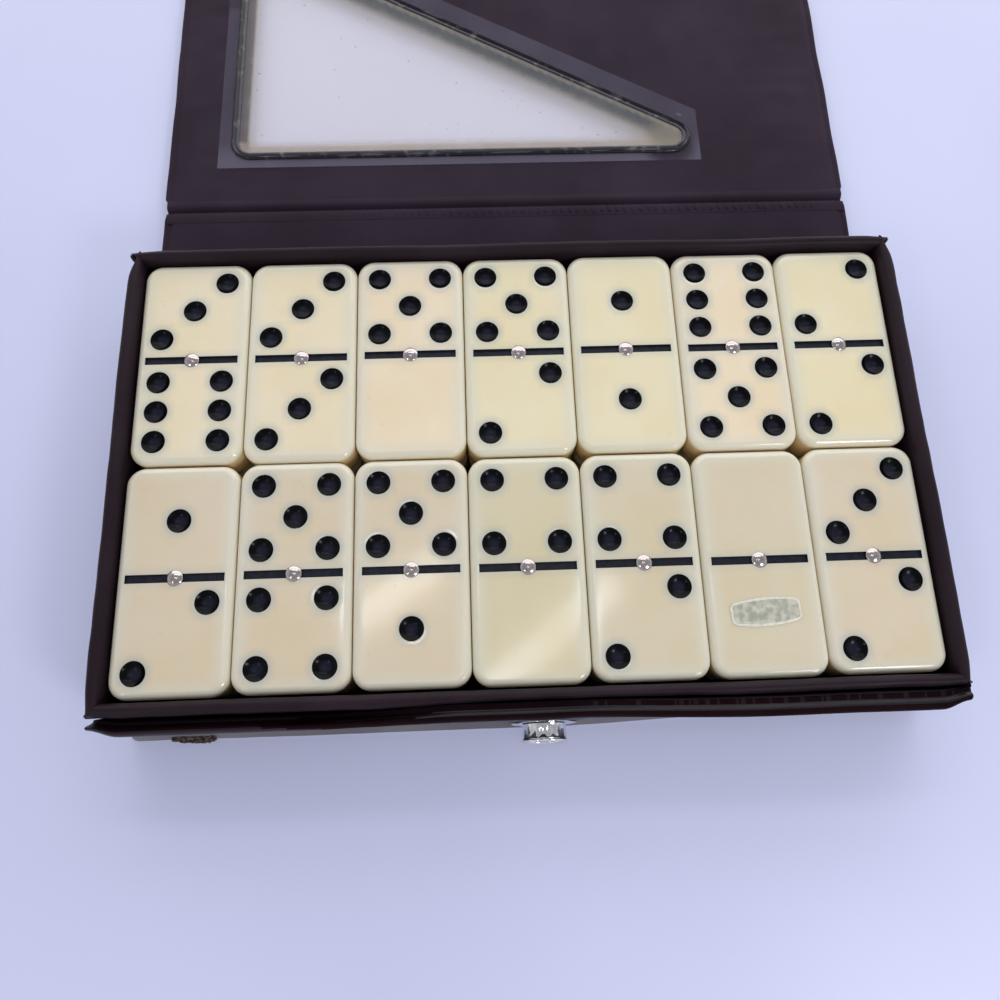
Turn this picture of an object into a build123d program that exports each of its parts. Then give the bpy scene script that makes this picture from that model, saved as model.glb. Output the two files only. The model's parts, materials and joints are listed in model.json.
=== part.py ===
# Double-six domino set in a vinyl snap case, its lid folded open behind the tray.
# Millimetres. +X runs along the rows of dominoes, +Y to the hinged back, +Z up.
# The origin is the middle of the tray's underside, on the table.
import os
from math import asin, atan2, cos, degrees, hypot, radians, sin

from build123d import *

# Dominoes
tile_width = 25.4
tile_length = 50.8
tile_thickness = 9.5
tile_corner_radius = 4.2
tile_edge_radius = 1.7
column_gap = 0.1
row_gap = 0.16
seat_gap = 0.05
pip_diameter = 5.4
pip_depth = 1.1
pip_spacing = 7.25
groove_length = 21.4
groove_width = 1.85
groove_depth = 0.6
pin_head_diameter = 3.6
pin_head_height = 0.6
pin_shank_diameter = 2.0
pin_shank_length = 3.5
pin_clearance = 0.02
label_length = 15.4
label_width = 6.1
label_corner_radius = 2.0
label_thickness = 0.08
label_offset = 11.35

# Each tile is written as its upper half and its lower half, as the case is seen from the front.
upper_back_row = "3-6 3-3 5-0 5-2 1-1 6-5 2-2".split()
upper_front_row = "1-2 5-4 5-1 4-0 4-2 0-0 3-2".split()
lower_back_row = "0-1 6-6 2-0 4-3 1-6 5-5 0-3".split()
lower_front_row = "6-0 3-1 4-4 6-2 1-4 3-5 6-4".split()
labelled_tile = "0-0"

# How far each upper tile has settled away from the other row
back_row_settling = (0.1, 0.0, 0.2, 0.1, 0.25, 0.05, 0.15)
front_row_settling = (0.2, 0.05, 0.0, 0.15, 0.05, 0.25, 0.1)

# Tray
tray_clearance = 0.5
wall_thickness = 3.0
wall_rise = 2.2
cover_thickness = 0.8
roll_thickness = 1.0
skin_thickness = 0.6
base_board_thickness = 1.4
liner_thickness = 0.4
weld_lip = 2.2
ear_length = 3.2
ear_root = 5.0
ear_thickness = 1.2
ear_skin = 0.25
ear_height = 5.0

# Front panel and the male half of the snap
panel_gap = 0.5
front_panel_thickness = 3.2
front_panel_drop = 1.4
front_panel_top_flat = 0.1
panel_end_weld = 1.5
snap_x = 2.5
snap_height = 11.6
snap_tilt = 6.0
flange_diameter = 14.4
flange_thickness = 0.4
barrel_diameter = 10.0
barrel_waist = 9.3
barrel_waist_height = 1.8
barrel_foot_inset = 0.1
barrel_length = 4.5
barrel_wall = 0.6
rivet_diameter = 3.2
rivet_bore = 1.8
rivet_head_diameter = 6.4
rivet_head_thickness = 0.35
pad_margin = 0.8
pad_depth = 1.65

# Spine, lid and flap
case_overhang = 2.05
board_thickness = 1.2
panel_weld = 1.6
panel_corner_radius = 2.0
fold_margin = 1.5
fold_bead_radius = 0.9
fold_tongue = 0.5
fold_end_margin = 3.0
back_clearance = 0.4
lid_clearance = 0.3
flap_length = 22.0
spine_rest_angle = 2.5

# Window in the lid
window_side_margin = 19.6
window_fold_margin = 17.5
window_width = 134.7
window_height = 76.9
window_corner_radius = 3.2
sheet_thickness = 0.35
sheet_side_margin = 5.9
sheet_fold_margin = 5.0
sheet_slope_margin = 8.5
sheet_end_margin = 5.3
sheet_top_margin = 6.5
bead_inset = 0.3
bead_width = 2.2
bead_height = 0.7

# Female half of the snap
snap_clearance = 0.45
socket_flange_diameter = 14.6
socket_flange_thickness = 0.8
socket_wall = 0.7
cap_diameter = 15.0
cap_depth = 1.5
cap_wall = 0.5
spring_wire = 0.5
spring_clearance = 0.03
spring_gap_angle = 50.0


def ball_radius(diameter, height):
    """The radius of the ball whose slice has this diameter and height."""
    half = diameter / 2
    return (half**2 + height**2) / (2 * height)


# Places that follow from the sizes above
column_pitch = tile_width + column_gap
row_pitch = tile_length + row_gap
middle_column = (len(upper_back_row) - 1) / 2
inner_half_x = middle_column * column_pitch + tile_width / 2 + tray_clearance
inner_half_y = (row_pitch + tile_length) / 2 + tray_clearance
outer_half_x = inner_half_x + wall_thickness
outer_half_y = inner_half_y + wall_thickness
board_top = skin_thickness + base_board_thickness
floor_top = board_top + liner_thickness
lower_tile_z = floor_top + seat_gap
upper_tile_z = lower_tile_z + tile_thickness + pin_head_height + seat_gap
tile_top = upper_tile_z + tile_thickness
wall_top = tile_top + wall_rise

panel_inner_y = -outer_half_y - panel_gap
panel_outer_y = panel_inner_y - front_panel_thickness
panel_top = wall_top - front_panel_drop

case_half_x = outer_half_x + case_overhang
panel_thickness = board_thickness + 2 * skin_thickness
half_panel = panel_thickness / 2
half_board = board_thickness / 2

# The snap leans back, so its flange stands clear of the panel by what its radius swings out
flange_swing = flange_diameter / 2 * sin(radians(snap_tilt))
flange_y = panel_outer_y - flange_swing
stud_reach = flange_swing + flange_thickness
barrel_rise = barrel_length * sin(radians(snap_tilt))
socket_bore_radius = barrel_diameter / 2 + barrel_rise / 2 + snap_clearance / 2
socket_height = snap_height + barrel_rise / 2
spring_radius = socket_bore_radius + spring_wire / 2

# The three folds lie in the middle of the panels' thickness
back_fold_y = outer_half_y + half_panel + back_clearance
back_fold_z = half_panel
closed_lid_z = wall_top + lid_clearance + half_panel
spine_length = closed_lid_z - back_fold_z
flap_standoff = flange_swing + stud_reach + lid_clearance + socket_flange_thickness
closed_flap_y = panel_outer_y - flap_standoff - half_panel
lid_length = back_fold_y - closed_flap_y
socket_y = closed_lid_z - socket_height
lid_fold_y = back_fold_y + spine_length * cos(radians(spine_rest_angle))
lid_fold_z = back_fold_z + spine_length * sin(radians(spine_rest_angle))
lid_rest_angle = -degrees(asin((lid_fold_z - half_panel) / lid_length))
flap_fold_y = lid_fold_y + lid_length * cos(radians(lid_rest_angle))
flap_fold_z = half_panel

# The flap rests on the ball-shaped face of its snap cap
cap_ball = ball_radius(cap_diameter, cap_depth)
cap_ball_z = cap_ball - cap_depth - cap_wall - half_panel
flap_rest_angle = degrees(
    asin((cap_ball - half_panel) / hypot(socket_y, cap_ball_z)) - atan2(cap_ball_z, socket_y)
)

# Lid-local places of the window
window_left = window_side_margin - case_half_x
window_right = window_left + window_width
window_bottom = window_fold_margin
window_top = window_bottom + window_height
window_slope = window_height / window_width
slope_stretch = hypot(1, window_slope)


def block(x, y, z):
    """A box from three (low, high) pairs."""
    size = [high - low for low, high in (x, y, z)]
    centre = [(high + low) / 2 for low, high in (x, y, z)]
    return Pos(*centre) * Box(*size)


def plate(width, y, z, radius):
    """A flat plate centred on X with rounded plan corners."""
    outline = RectangleRounded(width, y[1] - y[0], radius)
    return Pos(0, (y[0] + y[1]) / 2, z[0]) * extrude(outline, amount=z[1] - z[0])


# Dominoes


def pip_places(count):
    """Where the pips of one half lie, seen from the front of the case."""
    a = pip_spacing
    corners = [(-a, a), (a, a), (-a, -a), (a, -a)]
    layouts = {
        0: [],
        1: [(0, 0)],
        2: [(a, a), (-a, -a)],
        3: [(a, a), (0, 0), (-a, -a)],
        4: corners,
        5: corners + [(0, 0)],
        6: corners + [(-a, 0), (a, 0)],
    }
    return layouts[count]


def blank_tile():
    """A plain tile with its groove and pin hole, its underside at z = 0."""
    body = Pos(0, 0, tile_thickness / 2) * Box(tile_width, tile_length, tile_thickness)
    body = fillet(body.edges().filter_by(Axis.Z), tile_corner_radius)
    rims = body.faces().sort_by(Axis.Z)
    body = fillet(rims[0].edges() + rims[-1].edges(), tile_edge_radius)
    groove_z = (tile_thickness - groove_depth, tile_thickness + groove_depth)
    half = groove_length / 2
    body -= block((-half, half), (-groove_width / 2, groove_width / 2), groove_z)
    hole = Cylinder(pin_shank_diameter / 2 + pin_clearance, 2 * pin_shank_length)
    return body - Pos(0, 0, tile_thickness) * hole


def dome(diameter, height):
    """A slice of a ball that stands on z = 0."""
    radius = ball_radius(diameter, height)
    ball = Pos(0, 0, height - radius) * Sphere(radius)
    return ball & block((-diameter, diameter), (-diameter, diameter), (0, 2 * height))


def spinner_pin():
    """The domed metal pin in the middle of a tile, its head on z = 0."""
    shank = Pos(0, 0, -pin_shank_length / 2) * Cylinder(pin_shank_diameter / 2, pin_shank_length)
    return dome(pin_head_diameter, pin_head_height) + shank


def pip_cutter():
    """The ball that leaves one dimple, with its middle above z = 0."""
    radius = ball_radius(pip_diameter, pip_depth)
    return Pos(0, 0, radius - pip_depth) * Sphere(radius)


def halves(tile):
    """The counts on a tile's upper and lower half."""
    return [int(count) for count in tile.split("-")]


def domino(tile, blank, pin, ball):
    """One tile with its pips and its pin, as a group of two solids."""
    half_centre = tile_length / 4
    upper, lower = halves(tile)
    places = [(x, y + half_centre) for x, y in pip_places(upper)]
    places += [(x, y - half_centre) for x, y in pip_places(lower)]
    body = blank
    if places:
        body = blank - [Pos(x, y, tile_thickness) * ball for x, y in places]
    return [body, Pos(0, 0, tile_thickness) * pin]


def foil_label():
    """The blank foil label on the near half of the double blank."""
    label = RectangleRounded(label_length, label_width, label_corner_radius)
    return Pos(0, -label_offset, tile_thickness) * extrude(label, amount=label_thickness)


def tile_name(tile):
    low, high = sorted(halves(tile))
    return f"domino_{low}_{high}"


def dominoes():
    """All 28 tiles, and the label, at their places in the tray."""
    blank = blank_tile()
    pin = spinner_pin()
    ball = pip_cutter()
    still = (0,) * len(lower_back_row)
    back, front = row_pitch / 2, -row_pitch / 2
    rows = (
        (lower_back_row, back, lower_tile_z, still, 1),
        (lower_front_row, front, lower_tile_z, still, -1),
        (upper_back_row, back, upper_tile_z, back_row_settling, 1),
        (upper_front_row, front, upper_tile_z, front_row_settling, -1),
    )
    made = {}
    for row, y, z, settling, outward in rows:
        for column, tile in enumerate(row):
            x = (column - middle_column) * column_pitch
            place = Pos(x, y + outward * settling[column], z)
            solids = domino(tile, blank, pin, ball)
            made[tile_name(tile)] = [place * solid for solid in solids]
            if tile == labelled_tile:
                made["blank_label"] = [place * foil_label()]
    return made


# Tray


def wall_profile(low_inside, low_outside, thickness, top, side, roll):
    """The section of a padded wall: a face with a half-round top, x from its inner face."""
    radius = thickness / 2
    arc = ThreePointArc((0, top - radius), (radius, top), (thickness, top - radius))
    legs = Polyline((thickness, top - radius), (thickness, low_outside),
                    (thickness - side, low_outside), (thickness - side, top - roll),
                    (side, top - roll), (side, low_inside), (0, low_inside), (0, top - radius))
    return make_face(arc + legs)


def mitred(shape, inner_half_length, inner_y, outward_sign):
    """Cuts a wall that runs along X to its trapezoid plan, mitred at 45 degrees."""
    a = inner_half_length
    t = wall_thickness
    y0, y1 = inner_y, inner_y + outward_sign * t
    plan = Polygon((-a, y0), (a, y0), (a + t, y1), (-a - t, y1), align=None)
    return shape & extrude(plan, amount=2 * wall_top)


def wall(inner_half_length, inner_distance):
    """The cover and board of one wall, made as the back wall."""
    reach = 2 * (inner_half_length + wall_thickness)
    section = wall_profile(board_top, skin_thickness, wall_thickness, wall_top,
                           cover_thickness, roll_thickness)
    # The section's x runs outward along +Y, and its y runs up
    stand = Plane(origin=(-reach / 2, inner_distance, 0), x_dir=(0, 1, 0), z_dir=(1, 0, 0))
    cover = mitred(extrude(stand * section, amount=reach), inner_half_length, inner_distance, 1)
    core = block(
        (-reach / 2, reach / 2),
        (inner_distance + cover_thickness, inner_distance + wall_thickness - cover_thickness),
        (board_top, wall_top - roll_thickness),
    )
    return cover, mitred(core, inner_half_length, inner_distance, 1)


def corner_ear(side):
    """The pinched end of the vinyl that sticks out at a back corner."""
    corner = side * outer_half_x
    root = side * (outer_half_x - ear_root)
    tip = side * (outer_half_x + ear_length)
    y = outer_half_y
    plan = Polygon((root, y), (root, y + ear_skin), (tip, y + ear_skin), (tip, y - ear_thickness / 2),
                   (corner, y - ear_thickness), (corner, y), align=None)
    top = wall_top - wall_thickness / 2
    return Pos(0, 0, top - ear_height) * extrude(plan, amount=ear_height)


def tray():
    """The base, liner and four walls."""
    long_cover, long_board = wall(inner_half_x, inner_half_y)
    side_cover, side_board = wall(inner_half_y, inner_half_x)
    turned = Rot(Z=180)
    left, right = Rot(Z=90), Rot(Z=-90)
    ears = [corner_ear(side) for side in (-1, 1)]
    base_half_x = outer_half_x - cover_thickness
    base_half_y = outer_half_y - cover_thickness
    lip_y = panel_outer_y - weld_lip
    return {
        "base_skin": [plate(2 * outer_half_x, (lip_y, outer_half_y), (0, skin_thickness),
                            panel_corner_radius)],
        "base_board": [block((-base_half_x, base_half_x), (-base_half_y, base_half_y),
                             (skin_thickness, board_top))],
        "floor_liner": [block((-inner_half_x, inner_half_x), (-inner_half_y, inner_half_y),
                              (board_top, floor_top))],
        "back_wall_cover": [long_cover + ears],
        "front_wall_cover": [turned * long_cover],
        "left_wall_cover": [left * side_cover],
        "right_wall_cover": [right * side_cover],
        "long_wall_boards": [long_board, turned * long_board],
        "side_wall_boards": [left * side_board, right * side_board],
    }


# Front panel and the male half of the snap


def snap_frame():
    """Where the flange meets the vinyl: z points out along the barrel, tilted up."""
    tilt = radians(snap_tilt)
    return Plane(origin=(snap_x, flange_y, snap_height), x_dir=(1, 0, 0),
                 z_dir=(0, -cos(tilt), sin(tilt)))


def ring(outer_radius, inner_radius, low, high):
    """A round ring about Z, or a disc where the inner radius is 0."""
    disc = Pos(0, 0, (low + high) / 2) * Cylinder(outer_radius, high - low)
    if inner_radius:
        disc -= Pos(0, 0, (low + high) / 2) * Cylinder(inner_radius, 2 * (high - low))
    return disc


def snap_barrel():
    """The hollow chrome barrel, waisted, with a rolled rim at its mouth."""
    rim = barrel_diameter / 2
    waist = barrel_waist / 2
    bead = (rim - waist) / 2 + barrel_wall / 2
    low = flange_thickness
    high = low + barrel_length
    mouth = rim - 2 * bead
    foot = rim - barrel_foot_inset
    side = ThreePointArc((foot, low), (waist, low + barrel_waist_height), (rim, high - bead))
    roll = ThreePointArc((rim, high - bead), (rim - bead, high), (mouth, high - bead))
    inside = Polyline((mouth, high - bead), (mouth, low + barrel_wall),
                      (rivet_diameter / 2, low + barrel_wall), (rivet_diameter / 2, low),
                      (foot, low))
    return revolve(Plane.XZ * make_face(side + roll + inside), Axis.Z)


def rivet_depth():
    """From the flange's seat back to the panel's inner face, along the tilted axis."""
    return (front_panel_thickness + flange_swing) / cos(radians(snap_tilt))


def snap_rivet():
    """The tubular rivet, with a head inside the barrel and one behind the panel."""
    shank = rivet_diameter / 2
    bore = rivet_bore / 2
    seat = flange_thickness + barrel_wall
    back = -rivet_depth()
    tube = ring(shank, bore, back, seat)
    front_head = ring(rivet_head_diameter / 2, bore, seat, seat + rivet_head_thickness)
    return tube + front_head


def rivet_back_washer():
    """The upset end of the rivet, flat against the panel's inner face."""
    washer = Rot(X=90) * Cylinder(rivet_head_diameter / 2, rivet_head_thickness)
    z = snap_height - (front_panel_thickness + flange_swing) * sin(radians(snap_tilt))
    return Pos(snap_x, panel_inner_y + rivet_head_thickness / 2, z) * washer


def front_panel():
    """The outer front panel, with a padded seat for the leaning snap."""
    half = outer_half_x
    z = (skin_thickness, panel_top)
    sleeve = block((-half, half), (panel_outer_y, panel_inner_y), z)
    top_edges = sleeve.edges().filter_by(Axis.X).group_by(Axis.Z)[-1]
    sleeve = fillet(top_edges, (front_panel_thickness - front_panel_top_flat) / 2)
    place = snap_frame().location
    pad = place * ring(flange_diameter / 2 + pad_margin, 0, -pad_depth, 0)
    core = block(
        (-half + panel_end_weld, half - panel_end_weld),
        (panel_outer_y + cover_thickness, panel_inner_y - cover_thickness),
        (skin_thickness, panel_top - roll_thickness),
    )
    hole = place * ring(rivet_diameter / 2, 0, -2 * rivet_depth(), rivet_depth())
    cover = (sleeve + pad) - core - hole
    return cover, core - hole


def front_parts():
    """The front panel and what is fixed through it."""
    cover, core = front_panel()
    place = snap_frame().location
    flange = ring(flange_diameter / 2, rivet_diameter / 2, 0, flange_thickness)
    rivet = place * snap_rivet() + rivet_back_washer()
    return {
        "front_panel_cover": [cover],
        "front_panel_board": [core],
        "snap_flange": [place * flange],
        "snap_barrel": [place * snap_barrel()],
        "snap_rivet": [rivet],
    }


# Panels of the wrap, each made flat with its fold at y = 0 and its inner face up


def panel_layers(y):
    """Outer skin with its welded rim, board and inner skin between two Y values."""
    width = 2 * case_half_x
    radius = panel_corner_radius
    board_y = (y[0] + panel_weld, y[1] - panel_weld)
    board = plate(width - 2 * panel_weld, board_y, (-half_board, half_board), radius / 2)
    outer = plate(width, y, (-half_panel, half_board), radius) - board
    inner = plate(width, y, (half_board, half_panel), radius)
    return outer, board, inner


def fold_strip(start):
    """A living hinge: a welded bead on the fold line y = 0, with a tongue back to start."""
    half = case_half_x - fold_end_margin
    bead = Rot(Y=90) * Cylinder(fold_bead_radius, 2 * half)
    return bead + block((-half, half), (start, 0), (-fold_tongue / 2, fold_tongue / 2))


def window_outline(grow):
    """The window's rounded triangle, grown outward all round."""
    corners = ((window_left, window_bottom), (window_right, window_bottom),
               (window_left, window_top))
    triangle = Polygon(*corners, align=None)
    rounded = fillet(triangle.vertices(), window_corner_radius)
    if grow:
        rounded = offset(rounded, amount=grow, kind=Kind.ARC)
    return rounded


def sheet_outline():
    """The clear sheet: the window's triangle with wider margins and two clipped tips."""
    left = window_left - sheet_side_margin
    low = window_bottom - sheet_fold_margin
    high = window_top + sheet_top_margin
    # How far the sharp tip lies from the middle of its rounding
    tip = window_corner_radius / sin(asin(window_slope / slope_stretch) / 2)
    right = window_right - tip + window_corner_radius + sheet_end_margin
    lift = sheet_slope_margin * slope_stretch

    def slope_y(x):
        return window_bottom + (window_right - x) * window_slope + lift

    def slope_x(y):
        return window_right - (y - lift - window_bottom) / window_slope

    return Polygon((left, low), (right, low), (right, slope_y(right)), (slope_x(high), high),
                   (left, high), align=None)


def lid():
    """The lid's layers cut by the window, the clear sheet, the weld bead and the flap fold."""
    layers = panel_layers((fold_margin, lid_length - fold_margin))
    cutter = Pos(0, 0, -panel_thickness) * extrude(window_outline(0), amount=2 * panel_thickness)
    outer, board, inner = [layer - cutter for layer in layers]
    sheet = Pos(0, 0, half_panel) * extrude(sheet_outline(), amount=sheet_thickness)
    bead_face = window_outline(bead_inset + bead_width) - window_outline(bead_inset)
    bead = Pos(0, 0, half_panel + sheet_thickness) * extrude(bead_face, amount=bead_height)
    fold = Pos(0, lid_length, 0) * fold_strip(-fold_margin)
    return {
        "lid_outer_skin": outer,
        "lid_board": board,
        "lid_inner_skin": inner,
        "window_sheet": sheet,
        "window_bead": bead,
        "flap_fold": fold,
    }


def spine():
    """The spine panel's layers and the lid fold."""
    outer, board, inner = panel_layers((fold_margin, spine_length - fold_margin))
    return {
        "spine_outer_skin": outer,
        "spine_board": board,
        "spine_inner_skin": inner,
        "lid_fold": Pos(0, spine_length, 0) * fold_strip(-fold_margin),
    }


def snap_socket():
    """The socket: a flange on the flap's inner face and a sleeve through the flap."""
    face = half_panel
    rim = face + socket_flange_thickness
    flange = ring(socket_flange_diameter / 2, socket_bore_radius, face, rim)
    sleeve = ring(socket_bore_radius + socket_wall, socket_bore_radius, -half_panel, face)
    half_groove = spring_wire / 2 + spring_clearance
    middle = face + socket_flange_thickness / 2
    groove = ring(spring_radius + half_groove, 0, middle - half_groove, middle + half_groove)
    return flange + sleeve - groove


def snap_spring():
    """The split wire ring that sits in the socket's groove."""
    path = CenterArc((0, 0, 0), spring_radius, spring_gap_angle / 2, 360 - spring_gap_angle)
    section = Plane(origin=path @ 0, z_dir=path % 0) * Circle(spring_wire / 2)
    return Pos(0, 0, half_panel + socket_flange_thickness / 2) * sweep(section, path)


def snap_cap():
    """The domed cap on the flap's outer face, hollow for the barrel's end."""
    brim = ring(cap_diameter / 2, 0, 0, cap_wall)
    shell = brim + Pos(0, 0, cap_wall) * dome(cap_diameter, cap_depth)
    hollow = ring(socket_bore_radius, 0, -cap_wall, cap_wall)
    hollow += Pos(0, 0, cap_wall) * dome(2 * socket_bore_radius, cap_depth - cap_wall)
    return Pos(0, 0, -half_panel) * Rot(X=180) * (shell - hollow)


def flap():
    """The front flap's layers, cut for the socket, and the female half of the snap."""
    layers = panel_layers((fold_margin, flap_length))
    at_snap = Pos(snap_x, socket_y, 0)
    hole = at_snap * ring(socket_bore_radius + socket_wall, 0, -panel_thickness, panel_thickness)
    outer, board, inner = [layer - hole for layer in layers]
    return {
        "flap_outer_skin": outer,
        "flap_board": board,
        "flap_inner_skin": inner,
        "snap_socket": at_snap * snap_socket(),
        "snap_spring": at_snap * snap_spring(),
        "snap_cap": at_snap * snap_cap(),
    }


def placed(parts, y, z, angle):
    """Stands flat-made parts on their fold line, tilted up from the table by an angle."""
    place = Pos(0, y, z) * Rot(X=angle)
    return {name: [place * shape] for name, shape in parts.items()}


def back_fold():
    return {"back_fold": [Pos(0, back_fold_y, back_fold_z) * fold_strip(outer_half_y - back_fold_y)]}


def whole_object():
    """Every node's solids at rest, with the lid open."""
    nodes = {}
    nodes.update(tray())
    nodes.update(front_parts())
    nodes.update(back_fold())
    nodes.update(placed(spine(), back_fold_y, back_fold_z, spine_rest_angle))
    nodes.update(placed(lid(), lid_fold_y, lid_fold_z, lid_rest_angle))
    nodes.update(placed(flap(), flap_fold_y, flap_fold_z, flap_rest_angle))
    nodes.update(dominoes())
    return nodes


def main():
    os.makedirs("parts", exist_ok=True)
    nodes = whole_object()
    for name, shapes in nodes.items():
        solids = [solid for shape in shapes for solid in shape.solids()]
        node = solids[0] if len(solids) == 1 else Compound(children=solids)
        node.label = name
        export_step(node, f"parts/{name}.step")
    print(len(nodes), "nodes")
    print("back fold at", round(back_fold_y, 4), round(back_fold_z, 4))
    print("lid fold at", round(lid_fold_y, 4), round(lid_fold_z, 4))
    print("flap fold at", round(flap_fold_y, 4), round(flap_fold_z, 4))
    print("lid rest angle", round(lid_rest_angle, 4))
    print("flap rest angle", round(flap_rest_angle, 4))


main()
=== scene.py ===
import json
from itertools import pairwise
from math import atan2, cos, degrees, hypot, pi, radians, sin, sqrt

import bpy
from mathutils import Matrix, Vector, noise


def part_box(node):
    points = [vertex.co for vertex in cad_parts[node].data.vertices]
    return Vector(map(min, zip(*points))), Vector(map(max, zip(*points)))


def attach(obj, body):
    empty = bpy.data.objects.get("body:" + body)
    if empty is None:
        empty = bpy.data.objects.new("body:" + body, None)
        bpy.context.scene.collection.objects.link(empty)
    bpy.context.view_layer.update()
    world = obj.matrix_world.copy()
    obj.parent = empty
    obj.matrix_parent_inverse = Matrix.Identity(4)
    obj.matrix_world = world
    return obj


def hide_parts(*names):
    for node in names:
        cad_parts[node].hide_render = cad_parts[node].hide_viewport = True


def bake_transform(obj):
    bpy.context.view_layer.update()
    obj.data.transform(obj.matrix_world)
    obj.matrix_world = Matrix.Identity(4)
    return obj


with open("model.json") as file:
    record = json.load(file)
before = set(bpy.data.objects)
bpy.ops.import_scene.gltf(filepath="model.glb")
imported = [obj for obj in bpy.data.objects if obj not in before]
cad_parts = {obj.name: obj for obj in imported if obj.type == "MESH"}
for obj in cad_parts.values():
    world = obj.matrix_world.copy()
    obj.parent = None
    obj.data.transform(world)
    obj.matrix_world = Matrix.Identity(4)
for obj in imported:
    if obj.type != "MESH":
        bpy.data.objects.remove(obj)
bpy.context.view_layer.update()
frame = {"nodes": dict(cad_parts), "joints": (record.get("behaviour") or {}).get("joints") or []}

MM = 0.001
FAR = 99


# Hands and tools


def take_up(*pieces):
    """Selects these pieces alone, the last one active."""
    bpy.ops.object.select_all(action="DESELECT")
    for piece in pieces:
        piece.select_set(True)
    bpy.context.view_layer.objects.active = pieces[-1]


def edit(piece):
    """Opens a piece with all of it selected."""
    take_up(piece)
    bpy.ops.object.mode_set(mode="EDIT")
    bpy.ops.mesh.select_all(action="SELECT")


def close():
    bpy.ops.object.mode_set(mode="OBJECT")


def press(piece, kind, **settings):
    """Adds a modifier and applies it."""
    take_up(piece)
    step = piece.modifiers.new("step", kind)
    for name, value in settings.items():
        setattr(step, name, value)
    bpy.ops.object.modifier_apply(modifier=step.name)


def fix_in_place(piece):
    """Puts a piece's place, turn and size into its mesh."""
    take_up(piece)
    bpy.ops.object.transform_apply(location=True, rotation=True, scale=True)


def called(name):
    """Names the piece that was just added or joined, and hands it over."""
    bpy.context.object.name = name
    return bpy.context.object


def put(piece, place=(0, 0, 0), turn=(0, 0, 0)):
    """Moves and turns a piece, in millimetres and degrees, and fixes it there."""
    piece.location = [c * MM for c in place]
    piece.rotation_euler = [radians(a) for a in turn]
    fix_in_place(piece)


def copy_of(piece, name):
    """A copy with a mesh of its own."""
    take_up(piece)
    bpy.ops.object.duplicate(linked=False)
    return called(name)


def one_piece(name, *pieces):
    """Joins pieces into one, under a new name."""
    take_up(*pieces)
    if len(pieces) > 1:
        bpy.ops.object.join()
    return called(name)


def throw_away(*pieces):
    take_up(*pieces)
    bpy.ops.object.delete()


def close_seams(piece, within=0.004 * MM):
    """Merges doubles, drops loose bits and turns the faces outwards."""
    edit(piece)
    bpy.ops.mesh.remove_doubles(threshold=within)
    bpy.ops.mesh.delete_loose()
    bpy.ops.mesh.select_all(action="SELECT")
    bpy.ops.mesh.normals_make_consistent(inside=False)
    close()


def smooth(piece, angle=35):
    take_up(piece)
    bpy.ops.object.shade_smooth_by_angle(angle=radians(angle))


def sculpt(piece, move):
    """Moves each point of a piece to where move(x, y, z) says, in millimetres."""
    for vertex in piece.data.vertices:
        vertex.co = [c * MM for c in move(*[c / MM for c in vertex.co])]
    piece.data.update()


def paint_faces(piece, pick):
    """Gives each face the material whose number pick(x, y, z) says, in millimetres."""
    for face in piece.data.polygons:
        face.material_index = int(pick(*(face.center / MM)))


def choose(piece, kind, wanted):
    """Selects the faces or edges whose middle and normal or direction pass a test, in edit mode."""
    bpy.ops.mesh.select_all(action="DESELECT")
    bpy.ops.mesh.select_mode(type=kind)
    close()
    mesh = piece.data
    if kind == "FACE":
        for face in mesh.polygons:
            face.select = wanted(face.center, face.normal)
    else:
        for edge in mesh.edges:
            a, b = (mesh.vertices[i].co for i in edge.vertices)
            edge.select = wanted((a + b) / 2, b - a)
    bpy.ops.object.mode_set(mode="EDIT")


def slice_at(axis, place):
    """Cuts the selected faces along a line of even x, axis 0, or even y, axis 1, in edit mode."""
    way = Vector((axis == 0, axis == 1, 0))
    bpy.ops.mesh.bisect(plane_co=way * place * MM, plane_no=way)


def cut_grid(piece, wanted, xs, ys):
    """Cuts the wanted faces along lines of even x and y, in edit mode, places in millimetres."""
    for axis, places in enumerate((xs, ys)):
        for place in places:
            choose(piece, "FACE", wanted)
            slice_at(axis, place)


def outline_ring(name, points):
    """A ring of points on a closed outline in millimetres, at z = 0 unless the points say more."""
    bpy.ops.mesh.primitive_circle_add(vertices=len(points), radius=MM)
    ring = called(name)
    for vertex, point in zip(ring.data.vertices, points):
        vertex.co = [c * MM for c in (*point, 0)[:3]]
    return ring


def lathe(name, outline, steps=48):
    """A (radius, height) outline in millimetres, turned about Z."""
    piece = outline_ring(name, [(r, 0, z) for r, z in outline])
    edit(piece)
    bpy.ops.mesh.spin(steps=steps, angle=2 * pi, axis=(0, 0, 1), center=(0, 0, 0))
    close()
    close_seams(piece)
    smooth(piece)
    return piece


def draw_out(x, y, z):
    """Extrudes the selected edges by so many millimetres, in edit mode."""
    bpy.ops.mesh.extrude_edges_move(TRANSFORM_OT_translate={"value": (x * MM, y * MM, z * MM)})


def cap_ends(piece):
    """Closes the holes of a piece in edit mode, and its seams."""
    bpy.ops.mesh.select_all(action="SELECT")
    bpy.ops.mesh.fill_holes(sides=0)
    close()
    close_seams(piece)


def swept(name, outline, places):
    """A closed (y, z) outline carried along X through these places, closed at both ends."""
    piece = outline_ring(name, [(places[0], y, z) for y, z in outline])
    edit(piece)
    for before, after in pairwise(places):
        draw_out(after - before, 0, 0)
    cap_ends(piece)
    return piece


def spaced(low, high, step):
    """Even places from low to high, about a step apart."""
    count = max(1, round((high - low) / step))
    return [low + (high - low) * i / count for i in range(count + 1)]


def arc(centre, radius, start, end, steps):
    """Points on an arc, angles in degrees."""
    turns = [radians(start + (end - start) * i / steps) for i in range(steps + 1)]
    return [(centre[0] + radius * cos(t), centre[1] + radius * sin(t)) for t in turns]


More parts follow.
